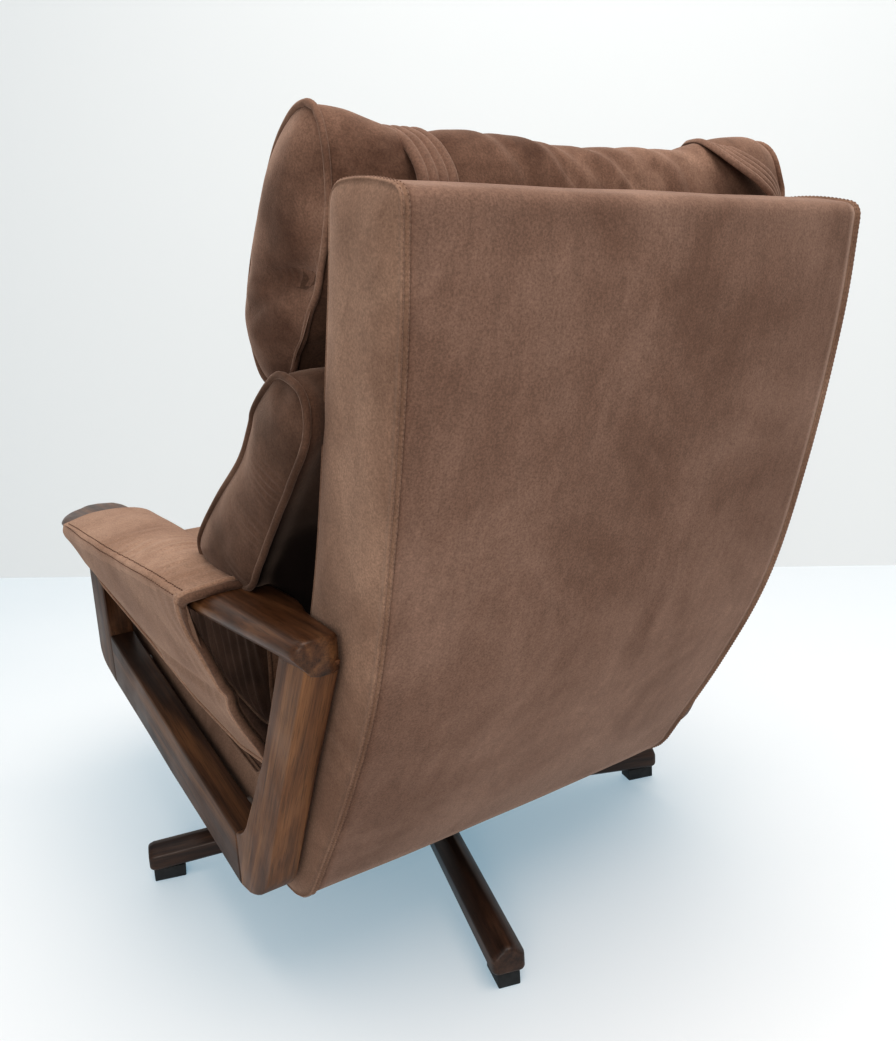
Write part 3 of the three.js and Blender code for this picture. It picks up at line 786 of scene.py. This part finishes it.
def lumbar_shape(points):
    """The part between the arms hangs lower; the cover gathers along the rear seam."""
    x, y, z = points.T
    side = np.abs(x)
    between = 1 - smooth_step(side, 286, 308)
    low = 1 - smooth_step(z, 515, 600)
    drop = between * low * (54 + 24 * bell(y, 100, 70))
    moved = np.column_stack([x, y + 6 * between * low, z - drop])
    along = 0.62 * (y - 330) + 0.78 * (z - 636)
    rear = smooth_step(y * 0.78 - z * 0.62, -190, -150)
    end = smooth_step(side, LUMBAR_HALF + 0.5, LUMBAR_HALF + 8)
    gather = np.sin(along / 1.9 + 1.4 * np.sin(along / 17)) * (0.6 + 0.4 * np.sin(along / 13 + 1))
    fade = 1 - smooth_step(along, 20, 70)
    from_seam = bell(y * 0.78 - z * 0.62, -143, 36)
    moved[:, 0] += np.sign(x) * 1.5 * gather * end * fade * from_seam
    moved[:, 0] -= np.sign(x) * 6.0 * end * bell(y, 372, 24) * bell(z, 758, 14)
    moved[:, 0] += np.sign(x) * 2.2 * end * turbulence(points, 60, 21)
    moved[:, 1] += (1 - end) * rear * 1.6 * turbulence(points, 40, 22)
    # between the shell's edges the rear lies flat against its inner face
    moved[:, 1] -= 16 * rear * (1 - smooth_step(side, 306, 334))
    return moved


def build_lumbar():
    outline = Outline.around(LUMBAR_POINTS, (2, 8, 12, 18), 104, 30)
    made = cushion("lumbar_velvet", outline, LUMBAR_HALF, VELVET_DARK_AND_SHADE, 6, 13, lumbar_shape, 71, 48)
    # painted shade on the lumbar's rear-facing faces, which lie in deep shadow against the shell
    paint_shade_faces(made, LUMBAR_REAR_SHADE, lambda at, normal: normal.y > 0.2 and abs(at.x) < LUMBAR_HALF - 1)
    subdivide(made)
    finish_piece(made, "seat", "velvet", "lumbar_cushion", fill=0.75)
    for side, sign in SIDES:
        piping(f"lumbar_piping_{side}", outline, sign * LUMBAR_HALF, lumbar_shape, 4.2, VELVET_DARK_AND_SHADE, 1.6)


SEAT_HALF = 258
SEAT_POINTS = (
    (52, 432), (58, 400), (52, 330), (40, 268), (-60, 274), (-240, 312), (-420, 352), (-486, 370),
    (-500, 400), (-496, 436), (-460, 456), (-300, 456), (-140, 446), (0, 440),
)


def seat_shape(points):
    x, y, z = points.T
    side = np.abs(x)
    upper = smooth_step(z, 400, 440)
    crown = 10 * upper * (1 - (side / 275) ** 2) * bell(y, -250, 260)
    moved = np.column_stack([x, y, z + crown])
    end = smooth_step(side, SEAT_HALF + 0.5, SEAT_HALF + 6)
    moved[:, 0] += np.sign(x) * end * (1.6 * np.sin(y / 5.2 + z / 19) + 1.6 * turbulence(points, 50, 31))
    moved[:, 2] += upper * (1 - end) * 1.4 * turbulence(points, 80, 32)
    return moved


def build_seat_cushion():
    outline = Outline.around(SEAT_POINTS, (0, 3, 7, 10), 30, 84)
    made = cushion("seat_velvet", outline, SEAT_HALF, VELVET_LIGHT, 5, 9, seat_shape, 81, 40)
    # painted shade: the seat's end panels, down in the gap beside the arms, take the dark velvet
    paint_shade_faces(made, VELVET_DARK_AND_SHADE, lambda at, normal: abs(normal.x) > 0.6)
    subdivide(made)
    finish_piece(made, "seat", "velvet_light", "seat_cushion", fill=0.7)
    for side, sign in SIDES:
        piping(f"seat_piping_{side}", outline, sign * SEAT_HALF, seat_shape, 3.0, VELVET_LIGHT)


# ---- headrest straps ----------------------------------------------------------------------------------
STRAP_WIDTH = 46
STRAP_RIBS = 4
STRAP_ROUTES = {
    "left": [
        (200, 425, 840), (200, 440, 890), (200, 450, 935), (200, 435, 965), (200, 410, 985), (200, 375, 995),
        (195, 320, 980), (190, 265, 945), (190, 220, 890), (190, 190, 840), (190, 200, 800),
    ],
    "right": [
        (-340, 425, 870), (-330, 440, 900), (-300, 455, 940), (-275, 455, 960), (-250, 440, 980),
        (-240, 420, 995), (-250, 390, 1000), (-270, 360, 1000), (-280, 320, 980), (-270, 270, 955),
        (-270, 220, 900), (-260, 195, 840), (-260, 200, 800),
    ],
}


def build_straps():
    for side, route in STRAP_ROUTES.items():
        line = spline(route, 90)
        along = unit(np.gradient(line, axis=0))
        out = np.column_stack([np.zeros(len(line)), line[:, 1] - HEAD_HEART[0], line[:, 2] - HEAD_HEART[1]])
        if side == "right":
            out[:, 0] = -40 * smooth_step(-line[:, 0], 200, 300)
        width = unit(np.cross(along, out))
        lift = np.cross(width, along)
        lift *= np.sign(np.sum(lift * out, 1))[:, None]
        places = np.linspace(-0.5, 0.5, STRAP_RIBS * 10 + 1)
        ribs = 3.6 + 3.6 * np.abs(np.sin(math.pi * STRAP_RIBS * (places + 0.5))) ** 0.6
        ribs[[0, -1]] = 2.0
        ring = [*zip(places, ribs), (0.5, 0.5), (0.3, -0.6), (-0.3, -0.6), (-0.5, 0.5)]
        rings = [line + width * (u * STRAP_WIDTH) + lift * h for u, h in ring]
        points = np.stack(rings, 1).reshape(-1, 3)
        size = len(ring)
        faces = grid_faces(len(line), size, 0, True) + end_caps(len(line), size)
        strap = make_mesh(f"strap_{side}", points, faces, VELVET)
        finish_piece(strap, "seat", "velvet", f"headrest_strap_{side}")
        outer_edge = -1 if side == "right" else 1
        for number, u in enumerate((0.34, 0.42)):
            path = line + width * u * outer_edge * STRAP_WIDTH + lift * 6.4
            row = stitches(f"strap_stitch_{number + 1}_{side}", path, lift, THREAD, 3.0, 2.4, 0.36)
            finish_piece(row, "seat", "velvet")


# ---- arm sleeves --------------------------------------------------------------------------------------
ARMREST_REAR_TOP = 514
ARMREST_SLOPE = 0.0173
ARMREST_THICKNESS = 26


def armrest_top(y):
    return ARMREST_REAR_TOP + (424 - y) * ARMREST_SLOPE


PAD_FRONT, PAD_REAR = -332, 194
# place along the arm, then the lower edge of the flap (x, z) and the inside of the sleeve (x)
PAD_STATIONS = (
    (PAD_FRONT, 395, 482, 277), (-260, 390, 440, 280), (-115, 370, 382, 287), (0, 347, 317, 294),
    (100, 330, 280, 300), (PAD_REAR, 328, 284, 305),
)
PAD_HEART = np.array([345, 0, 470])
SLEEVE_TOP_POINTS, FLAP_POINTS = 44, 39
FLAP_EDGE = SLEEVE_TOP_POINTS + FLAP_POINTS - 1
# how far the rear edge of the flap is drawn forwards: (share of the way down, distance)
PAD_PULL = (
    (0, 0), (0.05, 15), (0.15, 28), (0.25, 32), (0.35, 24), (0.5, 20), (0.65, 16), (0.8, 8), (0.9, -7), (1, -12),
)
# where the fold lies in the flap, as a share of the way down, along the arm
FOLD_Y = (-125, -60, 0, 80, 165)
FOLD_PLACE = (1.0, 0.82, 0.70, 0.61, 0.60)


def pad_section(y):
    """Closed ring of (x, z) round the sleeve: inside bottom, over the top, down the flap and back."""
    ys = [s[0] for s in PAD_STATIONS]
    flap_x, flap_z, inner_x = (np.interp(y, ys, [s[k] for s in PAD_STATIONS]) for k in (1, 2, 3))
    top = armrest_top(y)
    edge = np.interp(y, [-380, -120, 180], [409, 408, 397])
    thin = 7 * smooth_step(y, 60, PAD_REAR)
    seam = (edge + 13, top + 7 - 0.4 * thin)
    outer = spline([
        (inner_x + 1, top - 84), (inner_x - 4, top - 40), (inner_x, top - 4),
        (inner_x + 14, top + 11 - 0.6 * thin), (inner_x + 48, top + 18 - thin), (edge - 30, top + 17 - thin),
        seam,
    ], SLEEVE_TOP_POINTS)
    belly = 0.5 * (np.array(seam) + (flap_x, flap_z)) + (9, -2)
    down = [seam, seam + np.array([2.5, -14]), belly, (flap_x + 6, flap_z + 14), (flap_x, flap_z)]
    flap = spline(down, FLAP_POINTS + 1)[1:]
    inside = spline([
        (flap_x - 7, flap_z + 1), (flap_x - 5, flap_z + 16), belly - (13, -2), (edge + 4, top - 26),
        (edge + 4, top - 2), (edge - 8, top + 3),
    ], 30)
    lining = spline([
        (inner_x + 24, top + 3), (inner_x + 12, top - 6), (inner_x + 8, top - 40), (inner_x + 10, top - 84),
    ], 16)
    return outer, flap, inside, lining


def pad_shape(points, part):
    """Draws the flap's rear edge forwards and adds fold and wrinkles; part runs 0 to 1 down the flap."""
    x, y, z = points.T
    rearness = smooth_step(y, -40, PAD_REAR)
    pulled = y - np.interp(part, *zip(*PAD_PULL)) * rearness * (part > 0)
    fold = np.interp(pulled, FOLD_Y, FOLD_PLACE)
    below = (part > 0) * smooth_step(pulled, -130, -40)
    swell = smooth_step(part, fold, fold + 0.1) * (1 - smooth_step(part, 0.9, 1))
    groove = -4.0 * bell(part, fold, 0.035) + 2.6 * swell
    moved = np.column_stack([x + groove * below, pulled, z])
    warp = turbulence(points, 70, 43)
    wave = np.sin(y / 3.9 + 5.5 * warp + 1.2 * np.sin(x / 26)) * (0.5 + 0.9 * turbulence(points, 48, 44))
    wrinkled = smooth_step(y, -190, -20) * (1 - smooth_step(y, 120, 175))
    on_top = (part <= 0) * smooth_step(x, 300, 330)
    moved[:, 2] += 1.3 * wave * wrinkled * on_top
    flap_wave = np.sin(y / 5.5 + z / 30)
    moved[:, 0] += 0.35 * flap_wave * smooth_step(y, 60, 150) * (part > 0.05) * (part < 0.8)
    moved[:, 2] += 2.2 * turbulence(points, 90, 41) * (part <= 0)
    moved[:, 0] += 2.0 * turbulence(points, 80, 42) * (part > 0) * (part < 0.9)
    return moved


# the rear edge is rolled twice, the darker roll turning in under the other: radius, place back, place in
REAR_ROLLS = ((4.4, -1.5, 1.5, VELVET_LIGHT), (5.5, 6.5, 6.0, VELVET_DARK_AND_SHADE))


def build_arm_pads():
    stations = np.linspace(PAD_FRONT, PAD_REAR, 112)
    rings, parts = [], []
    for y in stations:
        outer, flap, inside, lining = pad_section(y)
        ring = np.vstack([outer, flap, inside, lining])
        rings.append(np.column_stack([ring[:, 0], np.full(len(ring), y), ring[:, 1]]))
        down = np.linspace(0, 1, len(flap) + 1)[1:]
        up = np.linspace(1, 0.02, len(inside))
        parts.append(np.concatenate([np.zeros(len(outer)), down, up, np.zeros(len(lining))]))
    size = len(rings[0])
    shaped = pad_shape(np.vstack(rings), np.concatenate(parts)).reshape(len(stations), size, 3)
    faces = grid_faces(len(stations), size, 0, True)
    faces += end_caps(len(stations), size)
    for side, sign in SIDES:
        flip = np.array([sign, 1, 1])
        pad = make_mesh(f"arm_sleeve_{side}", shaped.reshape(-1, 3) * flip, faces, VELVET_LIGHT, sharp=60)
        # painted shade: faces of the flap and the inside that do not face up take a darker velvet than the lit
        # top
        paint_shade_faces(pad, VELVET_LIT_BAND_SHADED_FLAP, lambda at, normal: normal.z < 0.45 and at.z < 512)
        finish_piece(pad, "seat", "velvet_light", f"arm_pad_{side}", fill=0.45)
        for number, index in enumerate((SLEEVE_TOP_POINTS - 2, SLEEVE_TOP_POINTS)):
            line = shaped[3:-3, index] * flip
            before, after = shaped[3:-3, index - 2] * flip, shaped[3:-3, index + 2] * flip
            along = np.gradient(line, axis=0)
            up = np.cross(along, after - before)
            up *= np.where(up[:, 2] + sign * up[:, 0] > 0, 1, -1)[:, None]
            up /= np.linalg.norm(up, axis=1)[:, None]
            row = stitches(f"sleeve_stitch_{number + 1}_{side}", line + up * 0.2, up, THREAD, 4.4, 2.6, 0.8)
            finish_piece(row, "seat", "velvet")
        for number, (radius, back, inward, cover) in enumerate(REAR_ROLLS):
            edge = shaped[-1, :FLAP_EDGE + 1] + (0, back, 0)
            edge = edge + inward * unit((PAD_HEART - edge) * (1, 0, 1))
            cord = tube(f"sleeve_piping_{number + 1}_{side}", edge * flip, radius, cover)
            finish_piece(cord, "seat", "velvet_light")
        hem = tube(f"sleeve_hem_{side}", shaped[2:-1, FLAP_EDGE] * flip, 3.2, VELVET_LIGHT)
        finish_piece(hem, "seat", "velvet_light")


# ---- wooden side frames -------------------------------------------------------------------------------
ARM_OUTER = ((384, 412), (397, 180), (408, -120), (409, -380), (396, -456), (358, -504), (322, -513))
ARM_INNER = ((298, -500), (290, -430), (304, -120), (306, 120), (311, 280), (324, 338), (331, 412))
ARM_OUTER_Y, ARM_OUTER_X = zip(*((y, x) for x, y in ARM_OUTER[::-1]))


def build_armrests():
    """A board with a thin outer edge, bevelled underneath, that thickens into a block over the rear post."""
    outer = spline(ARM_OUTER, 90)
    inner = spline(ARM_INNER, 70)
    rear = [(333, 420), (337, 423.5), (348, 425), (368, 425), (378, 423.5), (383, 419)]
    loop = evenly(np.vstack([outer, inner, rear, outer[:1]]), 230)[:-1]
    normal = outward(loop)
    outside = smooth_step(normal[:, 0], 0.1, 0.7)

    def under(plan):
        """Depth of the underside: thin along the outer edge, sloping in to the full thickness."""
        x, y = plan.T
        full = ARMREST_THICKNESS + 14 * smooth_step(y, 345, 398)
        edge = np.interp(y, [-500, -330, 0, 412], [11, 14, 18, 17])
        rim = np.interp(y, ARM_OUTER_Y, ARM_OUTER_X)
        return np.clip(edge + 1.15 * np.maximum(rim - x, 0), edge, full)

    rings = []
    for crisp, soft in (
        ((12, -0.2), (30, -0.2)), ((6, 0.0), (17, 0.5)), ((3.0, 0.5), (8.5, 2.0)), ((1.3, 1.5), (3.4, 5.0)),
        ((0.3, 3.0), (0.9, 8.4)), ((0.0, 5.0), (0.0, 11.0)),
    ):
        inset, drop = (c + (r - c) * outside for c, r in zip(crisp, soft))
        plan = loop - normal * inset[:, None]
        rings.append(np.column_stack([plan, armrest_top(plan[:, 1]) - drop]))
    for narrow, wide, lift in ((0.2, 0.2, 1.6), (1.0, 1.4, 0.4), (2.4, 7, 0.0), (3.2, 16, 0.0), (6, 27, 0.0)):
        plan = loop - normal * (narrow + (wide - narrow) * outside)[:, None]
        rings.append(np.column_stack([plan, armrest_top(plan[:, 1]) - under(plan) + lift]))
    faces = grid_faces(len(rings), len(loop), 0, True) + end_caps(len(rings), len(loop))
    for side, sign in SIDES:
        points = np.vstack(rings) * (sign, 1, 1)
        board = make_mesh(f"armrest_board_{side}", points, faces, WALNUT_ARM, sharp=50)
        finish_piece(board, "seat", "walnut", f"armrest_{side}")


FLAT_ANGLE = math.radians(4)
CRISP_ANGLE = math.radians(24)


def eased_copy(name, node_name, width, material, slot, body):
    """The CAD node's own shape with its edges eased by a small radius."""
    work = bmesh.new()
    work.from_mesh(NODES[node_name].data)
    bmesh.ops.remove_doubles(work, verts=work.verts, dist=0.02 * MM)
    bmesh.ops.dissolve_limit(work, angle_limit=FLAT_ANGLE, verts=work.verts, edges=work.edges)
    crisp = [e for e in work.edges if len(e.link_faces) == 2 and e.calc_face_angle(0) > CRISP_ANGLE]
    bmesh.ops.bevel(
        work, geom=crisp, offset=width * MM, segments=3, profile=0.5, affect="EDGES", clamp_overlap=True
    )
    bmesh.ops.triangulate(work, faces=[f for f in work.faces if len(f.verts) > 4])
    mesh = bpy.data.meshes.new(name)
    work.to_mesh(mesh)
    work.free()
    mesh.materials.clear()
    mesh.materials.append(material)
    mesh.shade_smooth()
    mesh.set_sharp_from_angle(angle=math.radians(32))
    return finish_piece(linked(name, mesh), body, slot, node_name)


def build_side_frames():
    build_armrests()
    parts = (("rear_post", WALNUT_POST), ("bottom_rail", WALNUT_RAIL), ("front_post", WALNUT_UPRIGHT))
    for part, material in parts:
        for side, _ in SIDES:
            eased_copy(f"{part}_timber_{side}", f"{part}_{side}", 2.6, material, "walnut", "seat")


# ---- base and mechanism -------------------------------------------------------------------------------
def build_base():
    for i in range(4):
        low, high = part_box(f"base_leg_{i + 1}")
        middle = (low + high) / 2
        turn = math.atan2(middle.y - SWIVEL_Y, middle.x)
        timber = wood(f"dark_wood_{i + 1}", (0, 0, math.pi / 2 - turn), *DARK_TONES, 0.40, 0.15)
        eased_copy(f"leg_timber_{i + 1}", f"base_leg_{i + 1}", 2.2, timber, "dark_wood", "base")
        eased_copy(f"glide_shoe_{i + 1}", f"glide_{i + 1}", 1.6, RUBBER, "glide_rubber", "base")


SLOT_MATERIALS = {
    "velvet": VELVET, "velvet_light": VELVET_LIGHT, "plywood": PLYWOOD, "walnut": WALNUT_ARM,
    "dark_wood": WALNUT_ARM, "glide_rubber": RUBBER, "stop_rubber": RUBBER, "steel": STEEL,
    "black_steel": BLACK_STEEL, "knob_plastic": PLASTIC,
}


def dress_cad_nodes():
    """Every CAD node keeps its shape and takes a finish from its slot."""
    for part in frame["record"]["subparts"]:
        shown = NODES[part["node"]]
        shown.data.materials.clear()
        shown.data.materials.append(SLOT_MATERIALS[part["material_slot"]])


# two points of the line where the wall meets the floor
WALL_FOOT = ((245, -2465), (-1958, -299))
WALL_HEIGHT = 6000
FLOOR_REACH = 9000


def build_stage():
    floor_material, tree, shader = new_material("floor", roughness=0.5)
    tone = cloud(tree, object_space(tree), 1.3, 2, 0.5)
    colour = ramp(tree, tone, [(0.3, (0.650, 0.548, 0.484)), (0.7, (0.670, 0.565, 0.500))])
    tree.links.new(colour, shader.inputs["Base Color"])
    shader.inputs["Emission Color"].default_value = (0.46, 0.79, 1.0, 1)
    shader.inputs["Emission Strength"].default_value = FLOOR_GLOW
    corners = FLOOR_REACH * np.array([(-1, -1, 0), (1, -1, 0), (1, 1, 0), (-1, 1, 0)])
    floor = make_mesh("floor", corners, [(0, 1, 2, 3)], floor_material)

    # the wall is seen from inside the room only, so that it never hides the chair from a view in front
    wall_material, tree, shader = new_material("wall", roughness=0.9)
    shader.inputs["Base Color"].default_value = (0.5, 0.5, 0.5, 1)
    shader.inputs["Emission Color"].default_value = (0.97, 1.0, 0.985, 1)
    shader.inputs["Emission Strength"].default_value = WALL_GLOW
    behind = node(tree, "ShaderNodeNewGeometry").outputs["Backfacing"]
    clear = node(tree, "ShaderNodeBsdfTransparent").outputs[0]
    seen = node(tree, "ShaderNodeMixShader", {0: behind, 1: shader.outputs[0], 2: clear}).outputs[0]
    tree.links.new(seen, tree.nodes["Material Output"].inputs["Surface"])
    first, last = (np.array([*point, 0.0]) for point in WALL_FOOT)
    along = last - first
    start, end, rise = first - 3 * along, last + 3 * along, np.array([0, 0, WALL_HEIGHT])
    wall = make_mesh("wall", np.array([start, end, end + rise, start + rise]), [(0, 1, 2, 3)], wall_material)
    toward_room = Vector((1, 1, 0))
    if wall.data.polygons[0].normal.dot(toward_room) < 0:
        wall.data.flip_normals()


make_camera()
make_light()
build_stage()
dress_cad_nodes()
build_shell()
build_headrest()
build_lumbar()
build_seat_cushion()
build_straps()
build_arm_pads()
build_side_frames()
build_base()
